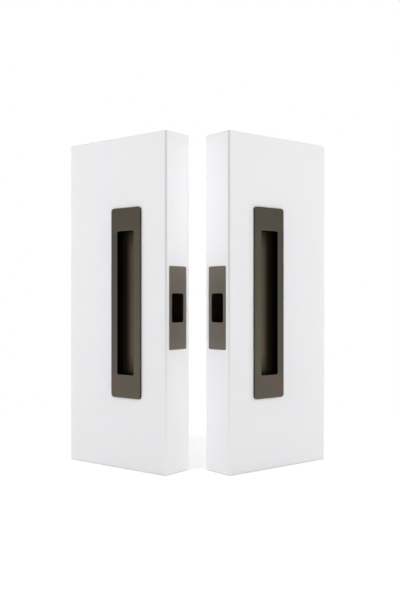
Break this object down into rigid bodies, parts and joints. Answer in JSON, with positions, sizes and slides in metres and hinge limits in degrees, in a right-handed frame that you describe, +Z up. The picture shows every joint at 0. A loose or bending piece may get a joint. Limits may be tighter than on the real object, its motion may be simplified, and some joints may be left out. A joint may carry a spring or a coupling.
{
  "type": "sliding door passage set",
  "caption": "Pair of white door sections, each with dark bronze flush pulls on both faces and a recessed finger pull in its meeting edge.",
  "frame": {"origin": "on the surface that both sections stand on, midway between them and midway from front to back", "axes": "+X to the right across the pair, +Y towards the back, +Z up; the front faces look towards -Y, turned 37.7 degrees outward"},
  "size_m": [0.2476, 0.0994, 0.3064],
  "materials": {
    "white_paint": "door board with a satin white paint",
    "dark_bronze": "satin dark bronze patina",
    "dark_steel": "blackened screws"
  },
  "bodies": {
    "root": {"left_door_section": "white_paint", "left_front_flush_pull": "dark_bronze", "left_rear_flush_pull": "dark_bronze", "left_edge_pull": "dark_bronze", "left_upper_tie_screw": "dark_steel", "left_lower_tie_screw": "dark_steel", "left_upper_edge_screw": "dark_steel", "left_lower_edge_screw": "dark_steel", "right_door_section": "white_paint", "right_front_flush_pull": "dark_bronze", "right_rear_flush_pull": "dark_bronze", "right_edge_pull": "dark_bronze", "right_upper_tie_screw": "dark_steel", "right_lower_tie_screw": "dark_steel", "right_upper_edge_screw": "dark_steel", "right_lower_edge_screw": "dark_steel"}
  },
  "joints": []
}
